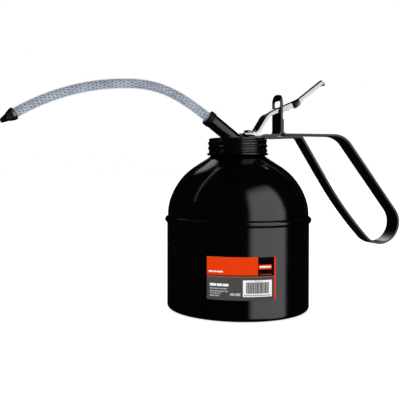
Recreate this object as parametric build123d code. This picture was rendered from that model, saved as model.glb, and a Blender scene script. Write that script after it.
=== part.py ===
from build123d import *
from math import cos, radians, sin, tan
import os

# Hand pump oil can with a thumb lever, a strap handle and a flexible spout.
# Millimetres, +Z up, origin at the centre of the can's base, spout towards -X, handle
# towards +X. The XZ plane is the plane of symmetry. Each piece is its own solid.

# ---------------------------------------------------------------- driving dimensions
CAN_R = 47.5                 # outside radius of the can
CAN_WALL = 0.8
BASE_R = 2.5                 # rounded edge between base and wall
SEAM_Z = 59.5                # height of the waist seam between the two shells
SEAM_R = 2.3                 # radius of the rolled seam bead
SEAM_IN = 0.8                # how far the bead's centre is inside the can's outside
SEAM_LOW = SEAM_Z - SEAM_R + 0.1     # joint between the two shells, under the bead
SHOULDER_Z = 64.0            # where the dome starts to turn in
DOME_R = 47.0                # outside radius of the dome's straight skirt
DOME_ARCS = [(25.0, 0.0, 13.0), (41.0, 13.0, 57.0)]    # radius, and lean at each end
NECK_R = 17.9                # outside radius of the neck's plain tube
NECK_TOP = 112.25            # rim of the neck
NECK_FOOT = 102.45           # joint between the neck ring and the dome
LABEL_LOW, LABEL_HIGH = 13.6, 39.8
LABEL_MIDDLE, LABEL_SPAN = -18.75, 52.3    # degrees round from the front (-Y), towards +X
LABEL_T = 0.15

CAP_TOP = 113.8              # top face of the screw cap
CAP_T = 0.8
CAP_BASE = 102.3             # lower edge of the curled skirt
CAP_R = 19.3                 # outside radius in the valleys of the rolled thread
SKIRT_T = 0.6
THREAD_PITCH = 3.3
THREAD_TURNS = 3

PUMP_X = 7.2                 # pump axis, off the can's own axis towards the handle
ROD_R = 1.5
ROD_RUN = 0.06               # radial running clearance of the rod
BARREL_R, BARREL_BORE = 6.5, 5.5
BARREL_LOW, BARREL_HIGH = 52.0, 108.0
HEAD_R, HEAD_LOW = 7.6, 100.5
GLAND_R = 3.2                # threaded neck of the barrel head, through cap and bracket
GLAND_TOP = 116.25
NUT_FLATS = 9.0
PISTON_LOW = 62.0
VALVE_SEAT_R = 1.2
BALL_R = 2.0
SUCTION_R, SUCTION_BORE = 2.5, 1.7
SUCTION_LOW = 8.5

POST_X = 28.65               # spout-side face of the lever post
POST_T = 1.45
POST_W = 14.0
POST_TOP = 143.9
POST_BEND = 2.6              # inside radius of the bend at the post's foot
SLOT_W = 11.0                # slot that the lever passes through
SLOT_TOP = 139.6
PIVOT_X, PIVOT_Z = 29.375, 131.2     # centre of the rounded edge that the lever rocks on
PIVOT_RUN = 0.09             # radial clearance between that edge and the lever's notches

LEVER_T = 1.0
LEVER_W = 9.5                # over the flanges of the arm
PAD_W = 13.5                 # over the flanges of the thumb pad
FORK_SLOT = 3.8
FORK_X, FORK_Z = 2.8, 117.45         # end of the fork, and its top face at rest
HEAD_GAP = 0.35              # from the fork up to the rod's button at rest

STRAP_T = 1.4
GRIP_W, RETURN_W = 13.4, 11.6
STRAP_TOP = 117.4            # top face of the strap's level run
GRIP_ANGLE = 52.2            # slope of the grip
TURN_X, TURN_Z, TURN_R = 106.9, 54.8, 14.65    # centre line of the strap's lower turn

SPOUT_ANGLE = 37.2           # slope of the spout socket
SPOUT_X, SPOUT_Z = -21.6, 127.6      # centre of the socket's open end
SOCKET_R, SOCKET_BORE = 4.8, 2.0
SOCKET_DEPTH = 12.0          # how far the hose goes into its socket
COLLAR_R, COLLAR_L = 5.25, 3.7
HOSE_R, BRAID_R, CORE_R, CORE_BORE = 3.5, 2.95, 2.55, 1.6
SPOUT_BENDS = [(165.0, 7.5), (65.5, 29.3), (142.0, 31.6)]    # radius and turn of each arc
FERRULE_R, FERRULE_L = 4.05, 5.2
NOZZLE_L = 5.0

MIN_UP = (Align.CENTER, Align.CENTER, Align.MIN)


# ---------------------------------------------------------------- helpers
def bar(radius, low, high, x=0.0):
    """Solid upright cylinder from z = low to z = high."""
    return Pos(x, 0, low) * Cylinder(radius, high - low, align=MIN_UP)


def tube(outer, inner, low, high, x=0.0):
    """Upright tube from z = low to z = high."""
    return bar(outer, low, high, x) - bar(inner, low, high, x)


def block(low, high):
    """Box between two corners."""
    size = [b - a for a, b in zip(low, high)]
    return Pos(*low) * Box(*size, align=(Align.MIN, Align.MIN, Align.MIN))


def side_face(points):
    """Closed outline in the XZ plane."""
    return make_face(Polyline(*[(x, 0, z) for x, z in points], close=True)).face()


def rounded(face, point, radius):
    """Round the corner of an XZ outline that is nearest to the point."""
    corner = face.vertices().sort_by_distance((point[0], 0, point[1]))[0]
    return face.fillet_2d(radius, [corner])


def across(face, width):
    """XZ outline given a width, centred on the plane of symmetry."""
    return extrude(face, amount=width / 2, dir=(0, 1, 0), both=True)


def arc_in_side(centre, radius, start, end):
    """Arc in the XZ plane, between two angles in degrees from +X."""
    def at(angle):
        turn = radians(angle)
        return (centre[0] + radius * cos(turn), 0, centre[1] + radius * sin(turn))
    return ThreePointArc(at(start), at((start + end) / 2), at(end))


# ---------------------------------------------------------------- can
def can_lower_shell():
    """Drawn cup: flat base with one stiffening groove, and a straight wall."""
    top = SEAM_LOW
    cup = bar(CAN_R, 0, top)
    cup = fillet(cup.edges().group_by(Axis.Z)[0], BASE_R)
    space = bar(CAN_R - CAN_WALL, CAN_WALL, top)
    space = fillet(space.edges().group_by(Axis.Z)[0], BASE_R - CAN_WALL)
    return cup - space - tube(37.0, 34.0, 0, 0.4)


def dome_solid(inset, neck_r):
    """Solid inside the dome's outline, moved inwards by the inset, with its neck."""
    base = SEAM_LOW
    radius = DOME_R - inset
    height = SHOULDER_Z
    edges = [Line((radius, 0, base), (radius, 0, height))]
    for arc_r, lean_start, lean_end in DOME_ARCS:
        arc_r -= inset
        centre = (radius - arc_r * cos(radians(lean_start)), height - arc_r * sin(radians(lean_start)))
        edges.append(arc_in_side(centre, arc_r, lean_start, lean_end))
        end = edges[-1] @ 1
        radius, height = end.X, end.Z
    foot_r = neck_r + 1.4
    foot_z = height + (radius - foot_r) / tan(radians(DOME_ARCS[-1][2]))
    rest = Polyline((radius, 0, height), (foot_r, 0, foot_z), (neck_r, 0, foot_z + 1.5),
                    (neck_r, 0, NECK_TOP), (0, 0, NECK_TOP), (0, 0, base), (DOME_R - inset, 0, base))
    wire = Wire([e for part in edges for e in part.edges()] + list(rest.edges()))
    return revolve(make_face(wire), axis=Axis.Z)


def can_dome_shell():
    """Domed upper shell with the rolled seam, up to the rim that carries the neck."""
    shell = dome_solid(0.0, NECK_R) - dome_solid(CAN_WALL, NECK_R - CAN_WALL)
    bead = Pos(0, 0, SEAM_Z) * Torus(CAN_R - SEAM_IN, SEAM_R)
    shell += bead - bar(DOME_R - CAN_WALL / 2, SEAM_Z - 2 * SEAM_R, SEAM_Z + 2 * SEAM_R)
    return shell & block((-60, -60, SEAM_LOW), (60, 60, NECK_FOOT))


def can_neck():
    """Threaded neck ring, joined to the dome's rim."""
    neck = tube(NECK_R, NECK_R - CAN_WALL, NECK_FOOT, NECK_TOP)
    for turn in range(THREAD_TURNS):
        z = CAP_BASE + 2.5 + turn * THREAD_PITCH
        ridge = Pos(0, 0, z) * Torus(NECK_R, 0.5)
        neck += ridge - bar(NECK_R - 0.2, z - 1, z + 1)
    return neck


def label():
    """Printed label, wrapped part of the way round the lower shell."""
    sheet = tube(CAN_R + LABEL_T, CAN_R, LABEL_LOW, LABEL_HIGH)
    reach = 2 * CAN_R
    half = radians(LABEL_SPAN / 2)
    far_x, far_y = reach * sin(half), -reach * cos(half)
    wedge = make_face(Polyline((0, 0), (far_x, far_y), (-far_x, far_y), close=True))
    wedge = Pos(0, 0, LABEL_LOW) * extrude(wedge, amount=LABEL_HIGH - LABEL_LOW)
    return sheet & (Rot(0, 0, LABEL_MIDDLE) * wedge)


# ---------------------------------------------------------------- cap
def spout_plane(distance):
    """Plane across the socket's axis, this far back from its open end, facing the cap."""
    slope = radians(SPOUT_ANGLE)
    inwards = (cos(slope), 0, -sin(slope))
    origin = (SPOUT_X + distance * inwards[0], 0, SPOUT_Z + distance * inwards[2])
    return Plane(origin=origin, x_dir=(0, 1, 0), z_dir=inwards)


def along_spout(radius, start, end):
    """Solid cylinder on the socket's axis."""
    return extrude(spout_plane(start) * Circle(radius), amount=end - start)


def cap_shell():
    """Screw cap: flat top, skirt with a rolled thread, curled lower edge."""
    curl = 0.8
    cap = bar(CAP_R, CAP_BASE + curl, CAP_TOP)
    cap = fillet(cap.edges().group_by(Axis.Z)[-1], 0.9)
    cap += Pos(0, 0, CAP_BASE + curl) * Torus(CAP_R + 0.45, curl)
    for turn in range(THREAD_TURNS):
        z = CAP_BASE + 2.5 + turn * THREAD_PITCH
        cap += Pos(0, 0, z) * Torus(CAP_R - 0.5, 1.25)
    cap -= bar(CAP_R - SKIRT_T, CAP_BASE - 1, CAP_TOP - CAP_T)
    cap -= bar(GLAND_R, CAP_TOP - 2, CAP_TOP + 1, PUMP_X)
    return cap - along_spout(SOCKET_R, 0, 32)


def cap_gasket():
    """Flat sealing ring between the neck's rim and the cap."""
    return tube(NECK_R + 0.4, 15.8, NECK_TOP + 0.03, CAP_TOP - CAP_T - 0.03)


# ---------------------------------------------------------------- bracket and handle
def post_bracket():
    """Strip on the cap, stepped up over the strap's end and bent into the slotted post."""
    low, foot = CAP_TOP, CAP_TOP + STRAP_T
    right = POST_X + POST_T
    half = POST_W / 2
    face = side_face([
        (PUMP_X - half, low), (13.6, low), (17.2, foot), (right, foot), (right, POST_TOP),
        (POST_X, POST_TOP), (POST_X, foot + POST_T), (16.9, foot + POST_T),
        (13.3, low + POST_T), (PUMP_X - half, low + POST_T)])
    face = rounded(face, (right, foot), POST_BEND + POST_T)
    face = rounded(face, (POST_X, foot + POST_T), POST_BEND)
    strip = across(face, POST_W)
    strip = fillet(strip.edges().filter_by(Axis.X).group_by(Axis.Z)[-1], 5.5)
    round_end = bar(half, low - 1, low + 4, PUMP_X)
    strip &= round_end + block((PUMP_X, -half, low - 1), (right, half, POST_TOP))
    slot_half = SLOT_W / 2
    slot = block((POST_X - 1, -slot_half, PIVOT_Z), (right + 1, slot_half, SLOT_TOP))
    strip -= fillet(slot.edges().filter_by(Axis.X).group_by(Axis.Z)[-1], 1.4)
    strip += Pos(PIVOT_X, 0, PIVOT_Z) * Rot(90, 0, 0) * Cylinder(POST_T / 2, SLOT_W)
    strip -= bar(GLAND_R, low - 1, low + 4, PUMP_X)
    return strip - along_spout(SOCKET_R, 0, 32)


def strap_path():
    """Centre line of the strap: tab, level run, grip, lower turn and return leg."""
    level = STRAP_TOP - STRAP_T / 2
    tab_x = POST_X + POST_T + STRAP_T / 2
    tab_r, bend_r = 2.7, 16.3
    slope = radians(GRIP_ANGLE)
    grip_end = (TURN_X + TURN_R * sin(slope), TURN_Z + TURN_R * cos(slope))
    corner_x = grip_end[0] - (level - grip_end[1]) / tan(slope)
    bend_x = corner_x - bend_r * tan(slope / 2)
    tab = Line((tab_x, 0, 127.6), (tab_x, 0, level + tab_r))
    tab_bend = arc_in_side((tab_x + tab_r, level + tab_r), tab_r, 180, 270)
    run = Line(tab_bend @ 1, (bend_x, 0, level))
    bend = arc_in_side((bend_x, level - bend_r), bend_r, 90, 90 - GRIP_ANGLE)
    grip = Line(bend @ 1, (grip_end[0], 0, grip_end[1]))
    turn = arc_in_side((TURN_X, TURN_Z), TURN_R, 90 - GRIP_ANGLE, -136)
    bow = TangentArc([turn @ 1, (64.2, 0, 85.3)], tangent=turn % 1)
    upward = bow % 1
    weld = CAP_TOP + STRAP_T / 2
    top_z = weld + 0.7
    top_x = 64.2 + upward.X * (top_z - 85.3) / upward.Z
    leg = FilletPolyline(bow @ 1, (top_x, 0, top_z), (27.4, 0, weld), (17.6, 0, weld), radius=2.2)
    parts = [tab, tab_bend, run, bend, grip, turn, bow, leg]
    return Wire([edge for part in parts for edge in part.edges()])


def handle_strap():
    """Flat strap, narrower on the return leg than on the grip, in one piece."""
    path = strap_path()
    start = Plane(origin=path @ 0, x_dir=(0, 1, 0), z_dir=path % 0)
    strap = sweep(start * Rectangle(2 * GRIP_W, STRAP_T), path=path)
    slope = radians(GRIP_ANGLE)
    down_grip = Plane(origin=(TURN_X, 0, TURN_Z), x_dir=(sin(slope), 0, cos(slope)),
                      z_dir=(cos(slope), 0, -sin(slope)))
    middle = (GRIP_W + RETURN_W) / 4
    taper = (GRIP_W - RETURN_W) / 4 / TURN_R
    reach = 60.0
    wide, narrow = middle + taper * reach, middle - taper * reach
    plan = make_face(Polyline((reach, wide), (-reach, narrow), (-reach, -narrow), (reach, -wide),
                              close=True))
    strap &= down_grip * extrude(plan, amount=150, both=True)
    tab_corners = strap.faces().sort_by(Axis.Z)[-1].edges().sort_by(SortBy.LENGTH)[:2]
    return fillet(tab_corners, 2.0)


# ---------------------------------------------------------------- spout
def spout_socket_tube():
    """Sloping tube through the cap, cut to the barrel head, that holds the hose."""
    body = along_spout(SOCKET_R, 0.5, 32) - along_spout(HOSE_R, 0, SOCKET_DEPTH)
    body -= along_spout(SOCKET_BORE, 0, 40)
    body -= bar(HEAD_R, HEAD_LOW - 5, CAP_TOP - CAP_T, PUMP_X)
    body -= bar(GLAND_R, HEAD_LOW, CAP_TOP + 4, PUMP_X)
    body -= bar(NUT_FLATS / 2 + 0.4, CAP_TOP + POST_T, CAP_TOP + 4, PUMP_X)
    return body.solids().sort_by(SortBy.VOLUME)[-1]


def spout_collar():
    """Crimped ring over the socket's open end."""
    cover = along_spout(COLLAR_R, 0, COLLAR_L) - along_spout(SOCKET_R, 0.5, COLLAR_L)
    cover -= along_spout(HOSE_R, 0, COLLAR_L)
    return chamfer(cover.edges().filter_by(GeomType.CIRCLE).sort_by(Axis.X)[0], 0.3)


def spout_path():
    """Centre line of the hose: straight in its socket, three arcs, straight in its ferrule."""
    start = spout_plane(SOCKET_DEPTH).origin
    mouth = spout_plane(0).origin
    edges = [Line(start, mouth)]
    heading = 180.0 - SPOUT_ANGLE
    here = mouth
    for radius, turn in SPOUT_BENDS:
        side = radians(heading + 90)
        centre = (here.X + radius * cos(side), here.Z + radius * sin(side))
        edges.append(arc_in_side(centre, radius, heading - 90, heading - 90 + turn))
        heading += turn
        here = edges[-1] @ 1
    ahead = Vector(cos(radians(heading)), 0, sin(radians(heading)))
    edges.append(Line(here, here + ahead * 2.6))
    wire = Wire([edge for part in edges for edge in part.edges()])
    tip = Plane(origin=here, x_dir=(0, 1, 0), z_dir=ahead)
    return wire, tip


def hose_layer(outer, inner):
    """One layer of the hose, over its whole length."""
    path, _ = spout_path()
    start = Plane(origin=path @ 0, x_dir=(0, 1, 0), z_dir=path % 0)
    return sweep(start * (Circle(outer) - Circle(inner)), path=path)


def tip_turned(profile):
    """Profile of (distance from the hose's end, radius) points, turned about the tip's axis."""
    _, tip = spout_path()
    face = make_face(Polyline(*[(radius, 0, along) for along, radius in profile], close=True))
    return tip * revolve(face, axis=Axis.Z)


def tip_ferrule():
    """Crimped metal ring over the end of the hose, tapering towards the nozzle."""
    shoulder, seat = 1.8, 2.6
    return tip_turned([(0, HOSE_R), (0.2, FERRULE_R), (shoulder, FERRULE_R), (FERRULE_L, 2.9),
                       (FERRULE_L, CORE_BORE + 0.3), (seat, CORE_BORE + 0.3), (seat, HOSE_R)])


def nozzle_tip():
    """Brass nozzle: tail inside the hose, blunt cone outside."""
    bore, root, neck = 0.7, FERRULE_L, CORE_BORE + 0.3
    end = root + NOZZLE_L
    tail = CORE_BORE - 0.1
    return tip_turned([(-4.0, bore), (-4.0, tail - 0.3), (-3.2, tail), (2.6, tail),
                       (2.6, neck), (root, neck), (root, 2.45), (root + 0.8, 2.4),
                       (end - 0.9, 1.5), (end - 0.3, 1.25), (end, 0.95), (end, bore)])


# ---------------------------------------------------------------- lever
PAD_TILT = radians(37.0)
FORK_TOP = (10.8, FORK_Z)            # corners of the lever's top line
KNEE = (19.4, 131.1)
ELBOW = (41.0, 140.75)
PAD_END = (59.5, 154.7)


def lever_outline():
    """Side outline of the lever: top line, bent-down lip, and the lower edge of the flanges."""
    lip = (62.9, 151.5)
    face = side_face([
        (FORK_X, FORK_Z), FORK_TOP, KNEE, ELBOW, PAD_END, lip, (62.2, 150.8), (61.0, 151.9),
        (46.4, 140.9), (44.3, 138.9), (43.3, 136.6), (40.4, 134.5), (36.9, 134.7), (35.6, 132.9),
        (32.4, 132.7), (31.6, PIVOT_Z), (26.9, PIVOT_Z), (21.4, 128.7), (14.9, 118.4), (11.7, FORK_Z - LEVER_T),
        (FORK_X, FORK_Z - LEVER_T)])
    rounds = [(FORK_TOP, 4.0), (KNEE, 14.0), (ELBOW, 22.0), (PAD_END, 0.9), ((21.4, 128.7), 9.0),
              ((43.3, 136.6), 1.8), ((40.4, 134.5), 2.2), ((31.6, PIVOT_Z), 0.3),
              ((46.4, 140.9), 0.8), ((36.9, 134.7), 0.5), ((35.6, 132.9), 0.6),
              ((14.9, 118.4), 3.0)]
    for point, radius in rounds:
        face = rounded(face, point, radius)
    return face


def lever_hollow():
    """Side outline of the space between the flanges, one sheet thickness under the top line."""
    face = side_face([
        (11.65, 116.9), (20.1, 130.35), (41.45, 139.85), (59.4, 153.4), (63.4, 149.7),
        (70.0, 140.0), (70.0, 100.0), (11.65, 100.0)])
    face = rounded(face, (20.1, 130.35), 13.0)
    return rounded(face, (41.45, 139.85), 23.0)


def lever_plan(inset):
    """Plan outline: narrow arm flaring to the thumb pad."""
    arm, pad = LEVER_W / 2 - inset, PAD_W / 2 - inset
    flare_from, flare_to = 36.3 + inset / 3, 43.4 + inset / 3
    end = 70.0
    half = [(FORK_X, arm), (flare_from, arm), (flare_to, pad), (end, pad)]
    other = [(x, -y) for x, y in reversed(half)]
    face = make_face(Polyline(*half, *other, close=True)).face()
    for x, y in ((flare_from, arm), (flare_to, pad)):
        for side in (-1, 1):
            corner = face.vertices().sort_by_distance((x, side * y, 0))[0]
            face = face.fillet_2d(2.0, [corner])
    return Pos(0, 0, 100) * extrude(face, amount=70)


def thumb_lever():
    """Stamped channel lever: fork, arm with two notches for the pivot edge, thumb pad."""
    lever = across(lever_outline(), 2 * PAD_W) & lever_plan(0.0)
    lever -= across(lever_hollow(), 2 * PAD_W) & lever_plan(LEVER_T)
    slot_end = 12.1
    slot = block((FORK_X - 1, -FORK_SLOT / 2, 110), (slot_end, FORK_SLOT / 2, 125))
    lever -= slot + bar(FORK_SLOT / 2, 110, 125, slot_end)
    notch = Pos(PIVOT_X, 0, PIVOT_Z) * Rot(90, 0, 0)
    lever -= notch * Cylinder(POST_T / 2 + PIVOT_RUN, 2 * PAD_W)
    fork_edges = lever.edges().filter_by(Axis.Z).group_by(Axis.X)[0]
    return fillet(fork_edges, 1.0)


# ---------------------------------------------------------------- pump
def barrel_head():
    """Brass head under the cap: seat for the barrel, delivery port, neck for the gland."""
    seat_top, pocket = 110.0, 112.6
    neck_top = GLAND_TOP - 0.4
    head = bar(HEAD_R, HEAD_LOW, CAP_TOP - CAP_T, PUMP_X) + bar(GLAND_R, HEAD_LOW, neck_top, PUMP_X)
    head -= bar(BARREL_R, HEAD_LOW, BARREL_HIGH, PUMP_X)
    head -= bar(BARREL_BORE, HEAD_LOW, seat_top, PUMP_X)
    head -= bar(ROD_R + ROD_RUN, HEAD_LOW, neck_top, PUMP_X)
    head -= bar(GLAND_R - 0.8, pocket, neck_top, PUMP_X)
    port = Pos(PUMP_X - HEAD_R - 1, 0, seat_top - 0.4) * Rot(0, 90, 0)
    return head - port * Cylinder(1.1, 5.0, align=MIN_UP)


def gland_nut():
    """Low hexagon nut that clamps cap, bracket and barrel head and holds the packing."""
    low = CAP_TOP + POST_T
    flats = RegularPolygon(NUT_FLATS / 2, 6, major_radius=False, rotation=30)
    nut = Pos(PUMP_X, 0, low) * extrude(flats, amount=GLAND_TOP - low)
    nut = chamfer(nut.edges().group_by(Axis.Z)[-1], 0.3)
    nut -= bar(GLAND_R, low, GLAND_TOP - 0.4, PUMP_X)
    return nut - bar(ROD_R + ROD_RUN, low, GLAND_TOP + 1, PUMP_X)


def gland_packing():
    """Packing ring round the rod."""
    return tube(GLAND_R - 0.8, ROD_R + ROD_RUN, 112.6, GLAND_TOP - 0.4, PUMP_X)


def pump_barrel():
    """Brass tube that the piston runs in."""
    return tube(BARREL_R, BARREL_BORE, BARREL_LOW, BARREL_HIGH, PUMP_X)


def foot_valve_body():
    """Turned plug in the barrel's lower end, with the seat for the inlet ball."""
    low, seat, top = BARREL_LOW - 6.0, BARREL_LOW - 2.0, BARREL_LOW + 5.0
    body = bar(BARREL_R, low, BARREL_LOW, PUMP_X) + bar(BARREL_BORE, low, top, PUMP_X)
    body -= bar(SUCTION_R, low, low + 2.5, PUMP_X)
    body -= bar(VALVE_SEAT_R, low, top, PUMP_X)
    body -= bar(BALL_R + 0.3, seat, top, PUMP_X)
    hole = Pos(PUMP_X, 0, BARREL_LOW + 3.2) * Rot(90, 0, 0) * Cylinder(0.5, 2 * BARREL_R)
    return body - hole


def valve_pin(height, length):
    """Cross pin that keeps a ball in its valve."""
    return Pos(PUMP_X, 0, height) * Rot(90, 0, 0) * Cylinder(0.5, length)


def ball_on_seat(seat):
    """Ball resting on the edge of its seat, at the seat's height."""
    drop = (BALL_R ** 2 - VALVE_SEAT_R ** 2) ** 0.5
    return Pos(PUMP_X, 0, seat + drop + 0.04) * Sphere(BALL_R)


def suction_tube():
    """Tube from the foot valve down to the strainer."""
    return tube(SUCTION_R, SUCTION_BORE, SUCTION_LOW, BARREL_LOW - 3.5, PUMP_X)


def strainer():
    """Perforated cup on the end of the suction tube."""
    low, top, wall = 6.0, 13.0, 0.7
    cup = bar(SUCTION_R + wall, low, top, PUMP_X) - bar(SUCTION_R, low + wall, top, PUMP_X)
    for angle in (0, 60, 120):
        hole = Rot(0, 0, angle) * Rot(90, 0, 0) * Cylinder(0.4, 4 * SUCTION_R)
        cup -= Pos(PUMP_X, 0, low + 1.6) * hole
    return cup


def return_spring():
    """Coil spring between the barrel head and the piston."""
    low, high, wire = PISTON_LOW + 11.1, 109.9, 0.45
    coil = Helix(pitch=4.0, height=high - low - 2 * wire, radius=BARREL_BORE - 1.3)
    start = Plane(origin=coil @ 0, z_dir=coil % 0)
    spring = sweep(start * Circle(wire), path=coil, is_frenet=True)
    return Pos(PUMP_X, 0, low + wire) * spring


def pump_rod():
    """Steel rod from the piston up through the gland."""
    return bar(ROD_R, PISTON_LOW + 7.5, FORK_Z + HEAD_GAP + 1.2, PUMP_X)


def rod_button():
    """Domed button on the rod's top end, lifted by the lever's fork."""
    low = FORK_Z + HEAD_GAP
    profile = [(0, low), (1.95, low), (2.55, low + 0.6), (2.55, low + 0.9), (2.2, low + 1.45),
               (1.4, low + 1.75), (0, low + 1.85)]
    button = revolve(side_face(profile), axis=Axis.Z)
    return Pos(PUMP_X, 0, 0) * (button - bar(ROD_R, low - 1, low + 1.2))


def piston():
    """Brass piston with a ball chamber, side ports, and a groove for its cup seal."""
    low = PISTON_LOW
    body = bar(5.3, low, low + 4, PUMP_X) + bar(4.0, low, low + 11, PUMP_X)
    body -= tube(6.0, 4.2, low + 1, low + 3, PUMP_X)
    body -= bar(VALVE_SEAT_R, low, low + 3, PUMP_X)
    body -= bar(BALL_R + 0.3, low + 2, low + 7.0, PUMP_X)
    body -= bar(ROD_R, low + 7.5, low + 11, PUMP_X)
    port = Pos(PUMP_X, 0, low + 5.5) * Rot(0, 90, 0) * Cylinder(1.0, 12)
    return body - port


def piston_cup():
    """Nitrile cup seal in the piston's groove."""
    return tube(BARREL_BORE - 0.05, 4.2, PISTON_LOW + 1, PISTON_LOW + 3, PUMP_X)


# ---------------------------------------------------------------- all the pieces
PIECES = {
    "can_lower_shell": can_lower_shell(),
    "can_dome_shell": can_dome_shell(),
    "can_neck": can_neck(),
    "label": label(),
    "cap_shell": cap_shell(),
    "cap_gasket": cap_gasket(),
    "post_bracket": post_bracket(),
    "handle_strap": handle_strap(),
    "spout_socket_tube": spout_socket_tube(),
    "spout_collar": spout_collar(),
    "hose_cover": hose_layer(HOSE_R, BRAID_R),
    "hose_braid": hose_layer(BRAID_R, CORE_R),
    "hose_core": hose_layer(CORE_R, CORE_BORE),
    "tip_ferrule": tip_ferrule(),
    "nozzle_tip": nozzle_tip(),
    "thumb_lever": thumb_lever(),
    "barrel_head": barrel_head(),
    "gland_nut": gland_nut(),
    "gland_packing": gland_packing(),
    "pump_barrel": pump_barrel(),
    "foot_valve_body": foot_valve_body(),
    "foot_valve_pin": valve_pin(BARREL_LOW + 3.2, 2 * BARREL_BORE),
    "foot_valve_ball": ball_on_seat(BARREL_LOW - 2.0),
    "suction_tube": suction_tube(),
    "strainer": strainer(),
    "return_spring": return_spring(),
    "pump_rod": pump_rod(),
    "rod_button": rod_button(),
    "piston": piston(),
    "piston_cup": piston_cup(),
    "piston_valve_ball": ball_on_seat(PISTON_LOW + 2.0),
}

os.makedirs("parts", exist_ok=True)
for name, piece in PIECES.items():
    export_step(piece, f"parts/{name}.step")
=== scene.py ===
import math
import bpy
from mathutils import Matrix, Vector

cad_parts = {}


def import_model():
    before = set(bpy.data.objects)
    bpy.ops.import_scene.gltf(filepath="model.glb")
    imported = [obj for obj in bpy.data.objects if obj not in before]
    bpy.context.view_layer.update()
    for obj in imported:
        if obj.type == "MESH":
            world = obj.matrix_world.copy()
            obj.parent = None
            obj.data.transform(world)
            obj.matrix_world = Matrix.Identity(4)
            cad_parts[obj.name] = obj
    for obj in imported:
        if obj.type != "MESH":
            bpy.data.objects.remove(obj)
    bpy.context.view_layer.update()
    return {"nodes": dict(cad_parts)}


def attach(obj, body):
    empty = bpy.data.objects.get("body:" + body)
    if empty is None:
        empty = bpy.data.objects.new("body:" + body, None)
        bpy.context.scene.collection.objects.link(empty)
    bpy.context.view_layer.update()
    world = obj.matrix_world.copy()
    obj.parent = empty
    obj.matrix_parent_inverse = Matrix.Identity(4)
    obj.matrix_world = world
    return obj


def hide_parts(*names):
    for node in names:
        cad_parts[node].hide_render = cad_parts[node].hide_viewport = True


# Visual model of a hand pump oil can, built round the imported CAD. Lengths in the tables and
# in the mesh builders are millimetres, turned into metres when a mesh is made.

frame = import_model()
nodes = frame["nodes"]
MM = 0.001


def set_range(node, start, end, low, high):
    """What a Map Range node takes in and gives out."""
    sockets = ("From Min", "From Max", "To Min", "To Max")
    for socket, number in zip(sockets, (start, end, low, high)):
        node.inputs[socket].default_value = number


def placed(name, data):
    """A new object in the scene."""
    made = bpy.data.objects.new(name, data)
    bpy.context.scene.collection.objects.link(made)
    return made


# ------------------------------------------------------------------ material helpers
NOISE_LOW, NOISE_HIGH = 0.35, 0.65


class Paint:
    """A Principled material with procedural detail laid over it in object space."""

    def __init__(self, name, colour, roughness, metallic=0.0, **sockets):
        self.material = bpy.data.materials.new(name)
        self.material.use_nodes = True
        self.tree = self.material.node_tree
        self.bsdf = self.tree.nodes["Principled BSDF"]
        self.bsdf.inputs["Base Color"].default_value = (*colour, 1.0)
        self.bsdf.inputs["Roughness"].default_value = roughness
        self.bsdf.inputs["Metallic"].default_value = metallic
        for socket, value in sockets.items():
            self.bsdf.inputs[socket.replace("_", " ")].default_value = value
        self.place = self.tree.nodes.new("ShaderNodeTexCoord").outputs["Object"]
        self.normal = None

    def link(self, a, b):
        self.tree.links.new(a, b)

    def mapped(self, stretch):
        """Object coordinates stretched, for grain that runs one way."""
        node = self.tree.nodes.new("ShaderNodeMapping")
        self.link(self.place, node.inputs["Vector"])
        node.inputs["Scale"].default_value = stretch
        return node.outputs["Vector"]

    def noise(self, size, detail, where=None):
        """Noise whose features are about this many millimetres across."""
        node = self.tree.nodes.new("ShaderNodeTexNoise")
        node.inputs["Scale"].default_value = 1.0 / (size * MM)
        node.inputs["Detail"].default_value = detail
        self.link(where or self.place, node.inputs["Vector"])
        return node.outputs["Fac"]

    def ramp(self, value, low, high):
        """Spreads the middle of a noise over this range."""
        node = self.tree.nodes.new("ShaderNodeMapRange")
        set_range(node, NOISE_LOW, NOISE_HIGH, low, high)
        self.link(value, node.inputs["Value"])
        return node.outputs["Result"]

    def vary_roughness(self, size, low, high, where=None):
        gloss = self.ramp(self.noise(size, 3.0, where), low, high)
        self.link(gloss, self.bsdf.inputs["Roughness"])

    def vary_colour(self, size, first, second):
        mix = self.tree.nodes.new("ShaderNodeMix")
        mix.data_type = "RGBA"
        mix.inputs["A"].default_value = (*first, 1.0)
        mix.inputs["B"].default_value = (*second, 1.0)
        self.link(self.ramp(self.noise(size, 3.0), 0.0, 1.0), mix.inputs["Factor"])
        self.link(mix.outputs["Result"], self.bsdf.inputs["Base Color"])

    def bump(self, size, depth, detail=2.0, where=None):
        """Relief of this depth in millimetres, added to any relief already there."""
        node = self.tree.nodes.new("ShaderNodeBump")
        node.inputs["Strength"].default_value = 1.0
        node.inputs["Distance"].default_value = depth * MM
        self.link(self.noise(size, detail, where), node.inputs["Height"])
        if self.normal:
            self.link(self.normal, node.inputs["Normal"])
        self.normal = node.outputs["Normal"]
        self.link(self.normal, self.bsdf.inputs["Normal"])


def painted(name, colour, low, high, peel, grain=None):
    """Black enamel: faint orange peel, and gloss that drifts a little over the surface."""
    paint = Paint(name, colour, low, Coat_Weight=1.0, Coat_Roughness=(low + high) / 2)
    paint.vary_colour(30.0, colour, [c * 1.5 for c in colour])
    paint.vary_roughness(12.0, low, high)
    paint.bump(1.6, peel)
    if grain:
        paint.bump(0.35, grain, detail=4.0)
    return paint.material


def metal(name, colour, other, low, high, grain, direction=(1, 1, 1), size=0.6,
          metallic=1.0):
    """Bare metal: tone and gloss vary, with grain that runs along one direction."""
    paint = Paint(name, colour, low, metallic=metallic)
    along = paint.mapped(direction)
    paint.vary_colour(size * 6, colour, other)
    paint.vary_roughness(size * 3, low, high, where=along)
    paint.bump(size, grain, detail=4.0, where=along)
    return paint.material


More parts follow.
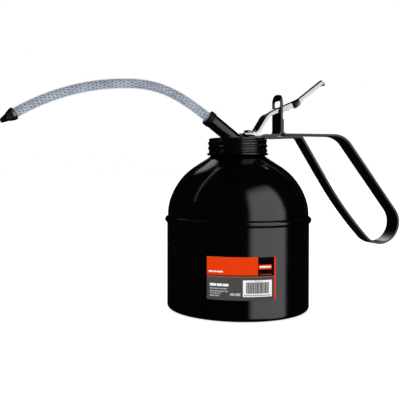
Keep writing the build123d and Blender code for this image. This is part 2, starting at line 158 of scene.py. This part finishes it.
def matt(name, colour, other, roughness, grain, size=0.5):
    """Rubber and plastic: moulded grain."""
    paint = Paint(name, colour, roughness)
    paint.vary_colour(size * 8, colour, other)
    paint.vary_roughness(size * 5, roughness - 0.06, roughness + 0.06)
    paint.bump(size, grain)
    return paint.material


def clear_pvc():
    """Clear flexible tube, faintly blue, with a soft gloss."""
    paint = Paint("clear_pvc", (0.42, 0.50, 0.62), 0.10, Alpha=0.13, IOR=1.53)
    paint.vary_roughness(4.0, 0.06, 0.16)
    paint.bump(3.0, 0.02)
    return paint.material


CAN_PAINT = painted("can_paint", (0.0008, 0.0008, 0.0009), 0.09, 0.15, 0.004)
FITTING_PAINT = painted("fitting_paint", (0.0010, 0.0010, 0.0011), 0.16, 0.26, 0.006, 0.002)
COLLAR_PAINT = matt("collar_paint", (0.0012, 0.0012, 0.0013), (0.0018, 0.0018, 0.0019),
                    0.62, 0.004)
STRAP_PAINT = painted("strap_paint", (0.0014, 0.0014, 0.0015), 0.24, 0.36, 0.010, 0.006)
SEAL_RUBBER = matt("seal_rubber", (0.020, 0.020, 0.021), (0.035, 0.034, 0.033), 0.65, 0.01)
CLEAR_PVC = clear_pvc()
BRAID_WIRE = metal("braid_wire", (0.42, 0.46, 0.52), (0.68, 0.73, 0.80), 0.34, 0.46, 0.002,
                   metallic=0.30, size=1.5)
CORE_TUBE = matt("core_tube", (0.008, 0.012, 0.024), (0.016, 0.022, 0.042), 0.50, 0.01)
FERRULE_STEEL = metal("ferrule_steel", (0.36, 0.35, 0.39), (0.48, 0.47, 0.52), 0.36, 0.48, 0.01)
NOZZLE_BRASS = metal("nozzle_brass", (0.10, 0.08, 0.035), (0.17, 0.13, 0.06), 0.30, 0.42, 0.008)
BRASS = metal("brass", (0.30, 0.21, 0.08), (0.47, 0.34, 0.14), 0.22, 0.38, 0.008, (1, 1, 14))
LEVER_PLATING = metal("lever_plating", (0.62, 0.62, 0.63), (0.72, 0.72, 0.73), 0.10, 0.16,
                      0.0004, (3, 14, 3), size=1.2)
SPRING_STEEL = metal("spring_steel", (0.50, 0.50, 0.52), (0.64, 0.64, 0.66), 0.16, 0.30,
                     0.003, (6, 6, 1), size=0.8)
SUCTION_PLASTIC = matt("suction_plastic", (0.78, 0.78, 0.72), (0.86, 0.86, 0.81), 0.42, 0.01)

NODE_FINISH = {
    CAN_PAINT: ("can_lower_shell", "can_dome_shell", "can_neck"),
    FITTING_PAINT: ("cap_shell", "post_bracket", "spout_socket_tube", "gland_nut"),
    COLLAR_PAINT: ("spout_collar",),
    STRAP_PAINT: ("handle_strap",),
    SEAL_RUBBER: ("cap_gasket", "gland_packing", "piston_cup"),
    CORE_TUBE: ("hose_core",),
    FERRULE_STEEL: ("tip_ferrule",),
    NOZZLE_BRASS: ("nozzle_tip",),
    BRASS: ("barrel_head", "pump_barrel", "foot_valve_body", "piston"),
    LEVER_PLATING: ("thumb_lever",),
    SPRING_STEEL: ("foot_valve_pin", "foot_valve_ball", "return_spring", "pump_rod", "rod_button",
                   "piston_valve_ball"),
    SUCTION_PLASTIC: ("suction_tube", "strainer"),
}
for finish, names in NODE_FINISH.items():
    for name in names:
        mesh = nodes[name].data
        mesh.materials.clear()
        mesh.materials.append(finish)


# ------------------------------------------------------------------ mesh helpers
CREASE = 38.0


def piece(name, points, faces, finish, body, slot, stands_for, crease=CREASE):
    """A mesh in millimetres becomes a piece that rides on a body; the slot argument is not used.
    """
    mesh = bpy.data.meshes.new(name)
    mesh.from_pydata([[c * MM for c in p] for p in points], [], faces)
    for material in finish if isinstance(finish, (list, tuple)) else (finish,):
        mesh.materials.append(material)
    for polygon in mesh.polygons:
        polygon.use_smooth = True
    mesh.set_sharp_from_angle(angle=math.radians(crease))
    mesh.validate()
    made = placed(name, mesh)
    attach(made, body)
    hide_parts(*stands_for)
    return made


def skin(rings, looped=False):
    """Faces between rings of points, capped at the ends unless the rings close up."""
    count = len(rings[0])
    points = [p for ring in rings for p in ring]
    faces = []
    for i in range(len(rings) if looped else len(rings) - 1):
        after = (i + 1) % len(rings)
        for j in range(count):
            k = (j + 1) % count
            faces.append((i * count + j, i * count + k, after * count + k, after * count + j))
    if not looped:
        faces.append(tuple(reversed(range(count))))
        faces.append(tuple(range((len(rings) - 1) * count, len(rings) * count)))
    return points, faces


def joined(parts):
    """Several (points, faces) lists as one."""
    points, faces = [], []
    for more_points, more_faces in parts:
        start = len(points)
        points += more_points
        faces += [tuple(i + start for i in face) for face in more_faces]
    return points, faces


# ------------------------------------------------------------------ flexible spout
# The centre line: straight through the socket, then arcs as (radius, degrees).
HOSE_R, BRAID_R, CORE_R = 3.5, 2.95, 2.55
MOUTH = Vector((-21.6, 0.0, 127.6))
MOUTH_SLOPE = 37.2
HOSE_INSET = 12.0
HOSE_BENDS = ((165.0, 7.5), (65.5, 29.3), (142.0, 31.6))
HOSE_END = 2.6
HOSE_LENGTH = HOSE_INSET + sum(r * math.radians(t) for r, t in HOSE_BENDS) + HOSE_END


def hose_frame(distance):
    """Point on the hose's centre line and its direction, this far from the end in the socket."""
    heading = math.radians(180.0 - MOUTH_SLOPE)
    ahead = Vector((math.cos(heading), 0, math.sin(heading)))
    if distance <= HOSE_INSET:
        return MOUTH + ahead * (distance - HOSE_INSET), ahead
    here, left = MOUTH.copy(), distance - HOSE_INSET
    for radius, turn in HOSE_BENDS:
        run = min(left, radius * math.radians(turn))
        side = Vector((-math.sin(heading), 0, math.cos(heading)))
        after = heading + run / radius
        end_side = Vector((-math.sin(after), 0, math.cos(after)))
        here = here + side * radius - end_side * radius
        heading = after
        left -= run
        if left <= 0:
            break
    ahead = Vector((math.cos(heading), 0, math.sin(heading)))
    return here + ahead * max(left, 0.0), ahead


def round_hose(distance, radius, angle):
    """Point on a circle round the hose's centre line."""
    here, ahead = hose_frame(distance)
    up = Vector((-ahead.z, 0, ahead.x))
    if up.z < 0:
        up = -up
    return here + up * (radius * math.cos(angle)) + Vector((0, radius * math.sin(angle), 0))


def hose_tube(outer, inner, start, end, sides, step):
    """Open tube wall round the centre line, closed at both ends."""
    count = max(2, round((end - start) / step))
    stations = [start + (end - start) * i / count for i in range(count + 1)]

    def ring(distance, radius):
        return [round_hose(distance, radius, math.tau * j / sides) for j in range(sides)]
    rings = [ring(s, outer) for s in stations] + [ring(s, inner) for s in reversed(stations)]
    return skin(rings, looped=True)


# The braid: carriers each way round, wires in a carrier, and the length of one turn.
CARRIERS, WIRES = 9, 2
WIRE_WIDE, WIRE_THICK, WIRE_GAP = 0.25, 0.11, 0.52
LAY = 46.0
BRAID_MIDDLE = (BRAID_R + CORE_R) / 2
LIFT = 0.09
WIRE_SIDES, WIRE_STEP, WIRE_INSET = 8, 0.6, 0.3


def braid_wire(way, carrier, wire):
    """One wire of the braid: a helix that rises and dips over the carriers it crosses."""
    start, end = WIRE_INSET, HOSE_LENGTH - WIRE_INSET
    slant = math.atan(math.tau * BRAID_MIDDLE / LAY)
    offset = (wire - (WIRES - 1) / 2) * WIRE_GAP / math.cos(slant) / BRAID_MIDDLE
    count = round((end - start) / WIRE_STEP)
    spine = []
    for i in range(count + 1):
        s = start + (end - start) * i / count
        angle = way * math.tau * s / LAY + math.tau * carrier / CARRIERS + offset
        rise = way * LIFT * math.cos(math.tau * CARRIERS * s / LAY)
        spine.append(round_hose(s, BRAID_MIDDLE + rise, angle))
    rings = []
    for i, point in enumerate(spine):
        ahead = (spine[min(i + 1, count)] - spine[max(i - 1, 0)]).normalized()
        out = (point - hose_frame(start + (end - start) * i / count)[0]).normalized()
        side = ahead.cross(out)
        rings.append([point + out * (WIRE_THICK * math.cos(a)) + side * (WIRE_WIDE * math.sin(a))
                      for a in (math.tau * j / WIRE_SIDES for j in range(WIRE_SIDES))])
    return skin(rings)


def flexible_spout():
    wires = [braid_wire(way, carrier, wire)
             for way in (1, -1) for carrier in range(CARRIERS) for wire in range(WIRES)]
    piece("hose_braid_wires", *joined(wires), BRAID_WIRE, "head", "braid_wire", ["hose_braid"],
          crease=80.0)
    piece("hose_clear_cover", *hose_tube(HOSE_R, BRAID_R + 0.03, 0.0, HOSE_LENGTH, 48, 1.0),
          CLEAR_PVC, "head", "clear_pvc", ["hose_cover"])


flexible_spout()


# ------------------------------------------------------------------ printed label
LABEL_R, LABEL_T = 47.5, 0.15
LABEL_MIDDLE, LABEL_SPAN = -18.75, 52.3
LABEL_LOW, LABEL_HIGH = 13.6, 39.8
LABEL_LEFT, LABEL_RIGHT = LABEL_MIDDLE - LABEL_SPAN / 2, LABEL_MIDDLE + LABEL_SPAN / 2
LETTER, SPACE = 0.82, 0.5
BARS_LEFT, BARS_SPAN = -15.6, 17.25


def film(name, colour):
    """Printed film: ink over paper, a satin surface, faint mottling of the ink."""
    paint = Paint(name, colour, 0.60, Specular_IOR_Level=0.04)
    paint.vary_colour(1.2, colour, [c * 0.92 for c in colour])
    paint.vary_roughness(3.0, 0.55, 0.65)
    paint.bump(0.5, 0.003)
    return paint.material


INKS = {
    "orange": film("label_orange", (0.78, 0.046, 0.002)),
    "black": film("label_black", (0.0015, 0.0015, 0.0015)),
    "grey": film("label_grey", (0.066, 0.066, 0.068)),
    "white": film("label_white", (0.90, 0.90, 0.89)),
    "brown": film("label_brown", (0.30, 0.070, 0.030)),
    "dark": film("label_dark", (0.030, 0.020, 0.018)),
    "pale": film("label_pale", (0.42, 0.42, 0.42)),
}


def label_blocks():
    """Blocks of ink: left and right in degrees from the front, low, high, ink."""
    blocks = [
        (LABEL_LEFT, LABEL_RIGHT, LABEL_LOW, LABEL_HIGH, "grey"),
        (LABEL_LEFT, LABEL_RIGHT, 28.9, LABEL_HIGH, "orange"),
        (LABEL_LEFT, LABEL_RIGHT, 28.3, 28.9, "dark"),
        (LABEL_LEFT, LABEL_RIGHT, 27.5, 28.3, "brown"),
        (-6.8, 6.0, 28.3, LABEL_HIGH, "black"),
        (-5.4, 3.8, 29.1, 29.5, "brown"),
        (-6.4, 3.9, 32.4, 35.2, "orange"),
        (-5.6, 3.1, 33.4, 34.4, "white"),
        (6.1, LABEL_RIGHT, LABEL_LOW, LABEL_HIGH, "orange"),
        (-17.9, 4.0, 15.8, 25.9, "white"),
        (-27.2, -24.0, 16.4, 18.0, "pale"),
        (-23.4, -19.7, 16.4, 18.0, "pale"),
    ]
    rows = [(-43.4, 30.45, 0.85, (4, 3, 5), "white"), (-42.5, 22.0, 1.6, (6, 5, 5), "white"),
            (-42.5, 20.2, 0.7, (3, 5, 2, 4), "pale"), (-42.5, 18.6, 0.7, (4, 3, 5, 3), "pale"),
            (-42.5, 17.4, 0.6, (2, 4, 3), "pale"), (-42.5, 15.8, 0.8, (4, 4), "pale")]
    for start, low, high, lengths, ink in rows:
        for length in lengths:
            blocks.append((start, start + length * LETTER, low, low + high, ink))
            start += length * LETTER + SPACE
    bars = (2, 1, 1, 3, 1, 2, 2, 1, 3, 1, 1, 2, 1, 3, 2, 1, 1, 2, 3, 1, 2, 1, 1, 3, 1, 2, 1, 2)
    unit = BARS_SPAN / (sum(bars) + len(bars))
    at = BARS_LEFT
    for width in bars:
        blocks.append((at, at + (width + 0.3) * unit, 17.8, 24.6, "black"))
        at += (width + 1) * unit
    for i in range(13):
        blocks.append((-16.8 + 1.55 * i, -15.9 + 1.55 * i, 16.3, 17.1, "dark"))
    for i in range(5):
        blocks.append((-9.3 + 1.2 * i, -8.6 + 1.2 * i, 25.1, 25.5, "dark"))
    return blocks


def label_sheet():
    """Curved sheet whose grid follows the printed blocks, so each block is its own faces."""
    blocks = label_blocks()
    columns = {LABEL_LEFT + LABEL_SPAN * i / 60 for i in range(61)}
    rows = {LABEL_LOW, LABEL_HIGH}
    for a, b, low, high, _ in blocks:
        columns |= {a, b}
        rows |= {low, high}

    def spaced(values, gap):
        kept = []
        for value in sorted(values):
            if not kept or value - kept[-1] > gap:
                kept.append(value)
        return kept
    columns, rows = spaced(columns, 1e-4), spaced(rows, 1e-4)
    inks = list(INKS)
    points, faces, marks = [], [], []
    for radius in (LABEL_R + LABEL_T, LABEL_R + 0.01):
        for z in rows:
            for a in columns:
                turn = math.radians(a)
                points.append((radius * math.sin(turn), -radius * math.cos(turn), z))
    wide, tall = len(columns), len(rows)
    back = wide * tall

    def at(i, j):
        return j * wide + i
    for j in range(tall - 1):
        for i in range(wide - 1):
            middle = ((columns[i] + columns[i + 1]) / 2, (rows[j] + rows[j + 1]) / 2)
            ink = "grey"
            for a, b, low, high, colour in blocks:
                if a < middle[0] < b and low < middle[1] < high:
                    ink = colour
            quad = (at(i, j), at(i + 1, j), at(i + 1, j + 1), at(i, j + 1))
            faces.append(quad)
            marks.append(inks.index(ink))
            faces.append(tuple(back + k for k in reversed(quad)))
            marks.append(inks.index("white"))
    rim = ([at(i, 0) for i in range(wide)] + [at(wide - 1, j) for j in range(1, tall)]
           + [at(i, tall - 1) for i in range(wide - 2, -1, -1)]
           + [at(0, j) for j in range(tall - 2, 0, -1)])
    for i, k in zip(rim, rim[1:] + rim[:1]):
        faces.append((k, i, back + i, back + k))
        marks.append(inks.index("white"))
    sheet = piece("label_film", points, faces, list(INKS.values()), "can", "label_paper",
                  ["label"])
    for polygon, mark in zip(sheet.data.polygons, marks):
        polygon.material_index = mark


label_sheet()


# ------------------------------------------------------------------ screw cap
CAP_TOP, CAP_BASE, CAP_R, CAP_INNER = 113.8, 102.3, 19.3, 18.7
CAP_T, CAP_EDGE, CURL_R, CURL_AT = 0.8, 0.9, 0.8, 19.75
PITCH, RIDGE_H, RIDGE_W = 3.3, 0.75, 1.45
RIDGE_LOW = 104.8


def ease(value, low, high):
    """Smooth step from 0 at low to 1 at high."""
    t = min(1.0, max(0.0, (value - low) / (high - low)))
    return t * t * (3 - 2 * t)


def ridge(z, turn):
    """How far the rolled thread stands out; turn is the share of a turn round the cap."""
    best = 0.0
    for k in range(-1, 4):
        centre = RIDGE_LOW + PITCH * (k + turn)
        away = abs(z - centre) / RIDGE_W
        if away < 1:
            fade = ease(centre, 103.6, 104.7) * (1 - ease(centre, 111.5, 112.4))
            best = max(best, RIDGE_H * fade * (1 + math.cos(math.pi * away)) / 2)
    return best


def screw_cap():
    """Cap with its curled lip, turned as rings of points, and the rolled thread on its side."""
    columns, steps = 180, 62
    rows = [(1.0, CAP_TOP - CAP_T, 0), (CAP_INNER - 0.4, CAP_TOP - CAP_T, 0),
            (CAP_INNER, CAP_TOP - CAP_T - 0.4, 0), (CAP_INNER, CAP_BASE + 1.1, 0)]
    for i in range(15):
        a = math.radians(165 + 305 * i / 14)
        rows.append((CURL_AT + CURL_R * math.cos(a), CAP_BASE + CURL_R + CURL_R * math.sin(a), 0))
    low, high = CAP_BASE + 2 * CURL_R - 0.02, CAP_TOP - CAP_EDGE
    rows += [(CAP_R, low + (high - low) * i / steps, 1) for i in range(steps + 1)]
    for i in range(1, 7):
        a = math.radians(90 * i / 6)
        rows.append((CAP_R - CAP_EDGE + CAP_EDGE * math.cos(a), high + CAP_EDGE * math.sin(a), 0))
    rows += [(15.0, CAP_TOP, 0), (1.0, CAP_TOP, 0)]
    rings = []
    for radius, z, threaded in rows:
        ring = []
        for j in range(columns):
            turn = j / columns - 0.5
            out = radius + (ridge(z, turn) if threaded else 0.0)
            a = math.tau * turn + math.radians(2.5)
            ring.append((out * math.sin(a), -out * math.cos(a), z))
        rings.append(ring)
    piece("cap_rolled", *skin(rings), FITTING_PAINT, "head", "fitting_paint", ["cap_shell"],
          crease=50)


screw_cap()


# ------------------------------------------------------------------ thumb lever
# Outlines in the XZ plane, each corner with its radius.
LEVER_T, ARM_W, PAD_W = 1.0, 9.5, 13.5
PAD_TOP, PAD_CORNER = (59.5, 154.7), (61.0, 151.9)
LEVER_TOP = (((2.8, 117.45), 0), ((10.8, 117.45), 4.0), ((19.4, 131.1), 14.0),
             ((41.0, 140.75), 22.0), (PAD_TOP, 0.9), ((62.9, 151.5), 0))
LEVER_LOW = (((2.0, 116.45), 0), ((11.7, 116.45), 2.0), ((14.9, 118.4), 3.0),
             ((21.4, 128.7), 9.0), ((26.9, 131.2), 0.4), ((28.56, 131.2), 0),
             ((28.80, 131.78), 0), ((29.375, 132.02), 0), ((29.95, 131.78), 0),
             ((30.19, 131.2), 0), ((31.6, 131.2), 0.3), ((32.4, 132.7), 0),
             ((35.6, 132.9), 0.6), ((36.9, 134.7), 0.5), ((40.4, 134.5), 2.2),
             ((43.3, 136.6), 1.8), ((44.3, 138.9), 0), ((46.4, 140.9), 0.8),
             (PAD_CORNER, 0), ((64.0, 149.0), 0))
PAD_RISE = (18.5, 13.95)
FLAT_TO = 11.0
FLARE_FROM, FLARE_RUN = 37.2, 4.6
EVEN_FROM, EVEN_TO = 33.0, 56.0
FORK_SLOT, FORK_DEEP = 3.8, 12.1
CORNER_THIN, CORNER_DEEP, CORNER_LIP = 0.35, 1.25, 0.90


def rounded_line(corners, step):
    """Points along a line in the XZ plane whose corners are rounded to their radii."""
    line = [Vector(corners[0][0])]
    for (before, _), (corner, radius), (after, _) in zip(corners, corners[1:], corners[2:]):
        corner = Vector(corner)
        back, on = (Vector(before) - corner).normalized(), (Vector(after) - corner).normalized()
        half = math.acos(max(-1.0, min(1.0, back.dot(on)))) / 2
        if radius <= 0 or half > math.radians(89.5):
            line.append(corner)
            continue
        reach = radius / math.tan(half)
        centre = corner + (back + on).normalized() * (radius / math.sin(half))
        start, end = corner + back * reach - centre, corner + on * reach - centre
        sweep = start.angle_signed(end)
        count = max(2, math.ceil(abs(sweep) * radius / step))
        line += [centre + Matrix.Rotation(-sweep * i / count, 2) @ start for i in range(count + 1)]
    line.append(Vector(corners[-1][0]))
    fine = [line[0]]
    for point in line[1:]:
        gap = (point - fine[-1]).length
        count = max(1, round(gap / step))
        origin = fine[-1]
        fine += [origin.lerp(point, (i + 1) / count) for i in range(count)]
    return fine


def depth_below(point, way, line):
    """How far along a direction the line lies."""
    best = None
    for a, b in zip(line, line[1:]):
        edge = b - a
        cross = way.x * edge.y - way.y * edge.x
        if abs(cross) < 1e-9:
            continue
        gap = a - point
        t = (gap.x * edge.y - gap.y * edge.x) / cross
        u = (gap.x * way.y - gap.y * way.x) / cross
        if t > 0.2 and -1e-6 <= u <= 1 + 1e-6 and (best is None or t < best):
            best = t
    return best


def channel_ring(point, way, width, depth, corner):
    """Closed section of the lever's channel, hanging from a point of its top line."""
    thin = LEVER_T
    inner = max(0.04, corner - thin)
    depth = max(depth, thin + inner + 0.02)
    half = width / 2
    outline = [(half, depth)]
    for i in range(7):
        a = math.radians(90 * i / 6)
        outline.append((half - corner + corner * math.cos(a), corner - corner * math.sin(a)))
    outline += [(-y, d) for y, d in reversed(outline)]
    inside = [(half - thin, depth)]
    for i in range(4):
        a = math.radians(90 * i / 3)
        inside.append((half - thin - inner + inner * math.cos(a),
                       thin + inner - inner * math.sin(a)))
    inside += [(-y, d) for y, d in reversed(inside)]
    return [(point.x + way.x * d, y, point.y + way.y * d) for y, d in outline + inside[::-1]]


def cut(target, tool_points, tool_faces):
    """Takes a closed mesh, in millimetres, out of a piece."""
    mesh = bpy.data.meshes.new("cutter")
    mesh.from_pydata([[c * MM for c in p] for p in tool_points], [], tool_faces)
    cutter = placed("cutter", mesh)
    modifier = target.modifiers.new("cut", "BOOLEAN")
    modifier.operation, modifier.object, modifier.solver = "DIFFERENCE", cutter, "EXACT"
    graph = bpy.context.evaluated_depsgraph_get()
    after = bpy.data.meshes.new_from_object(target.evaluated_get(graph))
    target.modifiers.clear()
    target.data = after
    bpy.data.objects.remove(cutter)
    after.set_sharp_from_angle(angle=math.radians(CREASE))


def thumb_lever():
    """Pressed channel that flares into the thumb pad, ends in a bent lip and has a fork slot."""
    top = rounded_line(LEVER_TOP, 0.3)
    low = rounded_line(LEVER_LOW, 0.3)
    corner_at = min(range(len(top)), key=lambda i: (top[i] - Vector(PAD_TOP)).length)
    pad_way = Vector(PAD_RISE).normalized()
    last_flat = max(i for i in range(corner_at + 1)
                    if (top[i] - top[i - 1]).normalized().dot(pad_way) > 0.9999)
    ways, depths = [], []
    for i, point in enumerate(top):
        ahead = (top[min(i + 1, len(top) - 1)] - top[max(i - 1, 0)]).normalized()
        way = Vector((ahead.y, -ahead.x))
        lean = ease(i, last_flat - 18, last_flat)
        past = i > last_flat
        if not past:
            way = way.lerp((Vector(PAD_CORNER) - top[last_flat]).normalized(), lean).normalized()
        depth = depth_below(point, way, low) or LEVER_T
        ways.append(way)
        depths.append(LEVER_T if past or point.x < FLAT_TO else depth)
    rings = []
    for i, (point, way) in enumerate(zip(top, ways)):
        reach = 2 if EVEN_FROM < point.x < EVEN_TO else 0
        near = depths[i - reach:i + reach + 1]
        depth = sum(near) / len(near)
        flare = min(1.0, max(0.0, (point.x - FLARE_FROM) / FLARE_RUN))
        width = ARM_W + (PAD_W - ARM_W) * flare
        for end in (top[0], top[-1]):
            away = min(1.0, (point - end).length)
            width -= 2 * (1 - math.sqrt(1 - (1 - away) ** 2))
        corner = CORNER_LIP if i > last_flat else CORNER_THIN + CORNER_DEEP * ease(depth, 1.0, 3.0)
        rings.append(channel_ring(point, way, width, depth, corner))
    lever = piece("lever_pressed", *skin(rings), LEVER_PLATING, "lever", "lever_plating",
                  ["thumb_lever"])
    half, sides = FORK_SLOT / 2, 16
    outline = [(0.0, -half), (FORK_DEEP, -half)]
    outline += [(FORK_DEEP + half * math.cos(a), half * math.sin(a))
                for a in (math.radians(-90 + 180 * i / sides) for i in range(1, sides))]
    outline += [(FORK_DEEP, half), (0.0, half)]
    cut(lever, *skin([[(x, y, z) for x, y in outline] for z in (110.0, 124.0)]))


thumb_lever()


# ------------------------------------------------------------------ camera, light, floor
CAMERA_AT, CAMERA_WAY, CAMERA_PITCH = (-0.1636, -0.4051, 0.0935), (0.2756, 0.9613), 1.03
FLOOR_GREY = (0.90, 0.90, 0.90)
WHITE = (1, 1, 1, 1)


def rectangle(name, wide, tall):
    """Flat mesh that reaches this far to each side of its middle."""
    mesh = bpy.data.meshes.new(name)
    mesh.from_pydata([(-wide, -tall, 0), (wide, -tall, 0), (wide, tall, 0), (-wide, tall, 0)], [],
                     [(0, 1, 2, 3)])
    return mesh


def camera():
    data = bpy.data.cameras.new("camera")
    data.lens, data.sensor_width = 57.85, 36.0
    data.shift_x, data.shift_y = 0.075, -0.05
    data.clip_start = 0.01
    made = placed("camera", data)
    made.location = CAMERA_AT
    pitch = math.radians(CAMERA_PITCH)
    ahead = Vector((*(c * math.cos(pitch) for c in CAMERA_WAY), -math.sin(pitch)))
    made.rotation_euler = ahead.to_track_quat("-Z", "Y").to_euler()
    bpy.context.scene.camera = made


def light_card(name, azimuth, elevation, distance, size, radiance, target, soft):
    """Glowing card facing its target, fading out towards its edges; azimuth from the front."""
    wide, tall = size[0] / 2, size[1] / 2
    mesh = rectangle(name, wide, tall)
    made = placed(name, mesh)
    a, e = math.radians(azimuth), math.radians(elevation)
    towards = Vector((math.sin(a) * math.cos(e), -math.cos(a) * math.cos(e), math.sin(e)))
    made.location = Vector(target) + towards * distance
    made.rotation_euler = (-towards).to_track_quat("Z", "Y").to_euler()
    glow = bpy.data.materials.new(name)
    glow.use_nodes = True
    tree = glow.node_tree
    tree.nodes.clear()
    split = tree.nodes.new("ShaderNodeSeparateXYZ")
    tree.links.new(tree.nodes.new("ShaderNodeTexCoord").outputs["Object"], split.inputs[0])
    level = None
    for axis, half, fade in (("X", wide, soft[0]), ("Y", tall, soft[1])):
        far = tree.nodes.new("ShaderNodeMath")
        far.operation = "ABSOLUTE"
        tree.links.new(split.outputs[axis], far.inputs[0])
        drop = tree.nodes.new("ShaderNodeMapRange")
        drop.interpolation_type = "SMOOTHSTEP"
        set_range(drop, half * (1 - fade), half, radiance if level is None else 1.0, 0.0)
        tree.links.new(far.outputs[0], drop.inputs["Value"])
        if level is None:
            level = drop.outputs["Result"]
            continue
        times = tree.nodes.new("ShaderNodeMath")
        times.operation = "MULTIPLY"
        tree.links.new(level, times.inputs[0])
        tree.links.new(drop.outputs["Result"], times.inputs[1])
        level = times.outputs[0]
    emit = tree.nodes.new("ShaderNodeEmission")
    tree.links.new(level, emit.inputs["Strength"])
    out = tree.nodes.new("ShaderNodeOutputMaterial")
    tree.links.new(emit.outputs[0], out.inputs["Surface"])
    mesh.materials.append(glow)
    made.visible_camera = False
    made.visible_shadow = False


def world():
    """White behind the object, an even fill on it, and near black in its reflections."""
    made = bpy.data.worlds.new("studio")
    bpy.context.scene.world = made
    made.use_nodes = True
    tree = made.node_tree
    tree.nodes.clear()
    path = tree.nodes.new("ShaderNodeLightPath")
    levels = {"camera": 1.0, "glossy": 0.003, "other": 0.80}
    shades = {}
    for name, level in levels.items():
        shades[name] = tree.nodes.new("ShaderNodeBackground")
        shades[name].inputs["Color"].default_value = WHITE
        shades[name].inputs["Strength"].default_value = level
    first, second = tree.nodes.new("ShaderNodeMixShader"), tree.nodes.new("ShaderNodeMixShader")
    out = tree.nodes.new("ShaderNodeOutputWorld")
    links = tree.links
    links.new(path.outputs["Is Glossy Ray"], first.inputs["Fac"])
    links.new(shades["other"].outputs[0], first.inputs[1])
    links.new(shades["glossy"].outputs[0], first.inputs[2])
    links.new(path.outputs["Is Camera Ray"], second.inputs["Fac"])
    links.new(first.outputs[0], second.inputs[1])
    links.new(shades["camera"].outputs[0], second.inputs[2])
    links.new(second.outputs[0], out.inputs["Surface"])


def floor():
    mesh = rectangle("floor", 6.0, 6.0)
    made = placed("floor", mesh)
    made.location.z = -0.2 * MM
    paint = Paint("floor_paper", FLOOR_GREY, 0.8)
    paint.vary_colour(400.0, FLOOR_GREY, (0.92, 0.92, 0.92))
    paint.bsdf.inputs["Emission Color"].default_value = WHITE
    paint.bsdf.inputs["Emission Strength"].default_value = 0.70
    mesh.materials.append(paint.material)
    made.visible_glossy = False


camera()
world()
floor()
light_card("key_card", 27.5, 0.0, 0.9, (1.22, 2.55), 0.97, (0, 0, 0.33), (0.34, 0.62))
light_card("low_back_card", 160.0, 22.0, 1.5, (0.62, 0.56), 1.5, (0, 0, 0.15), (0.3, 0.3))
light_card("back_card", 178.0, 42.0, 1.5, (1.0, 0.5), 0.6, (0, 0, 0.1), (0.4, 0.4))
bpy.context.scene.view_settings.view_transform = "Standard"
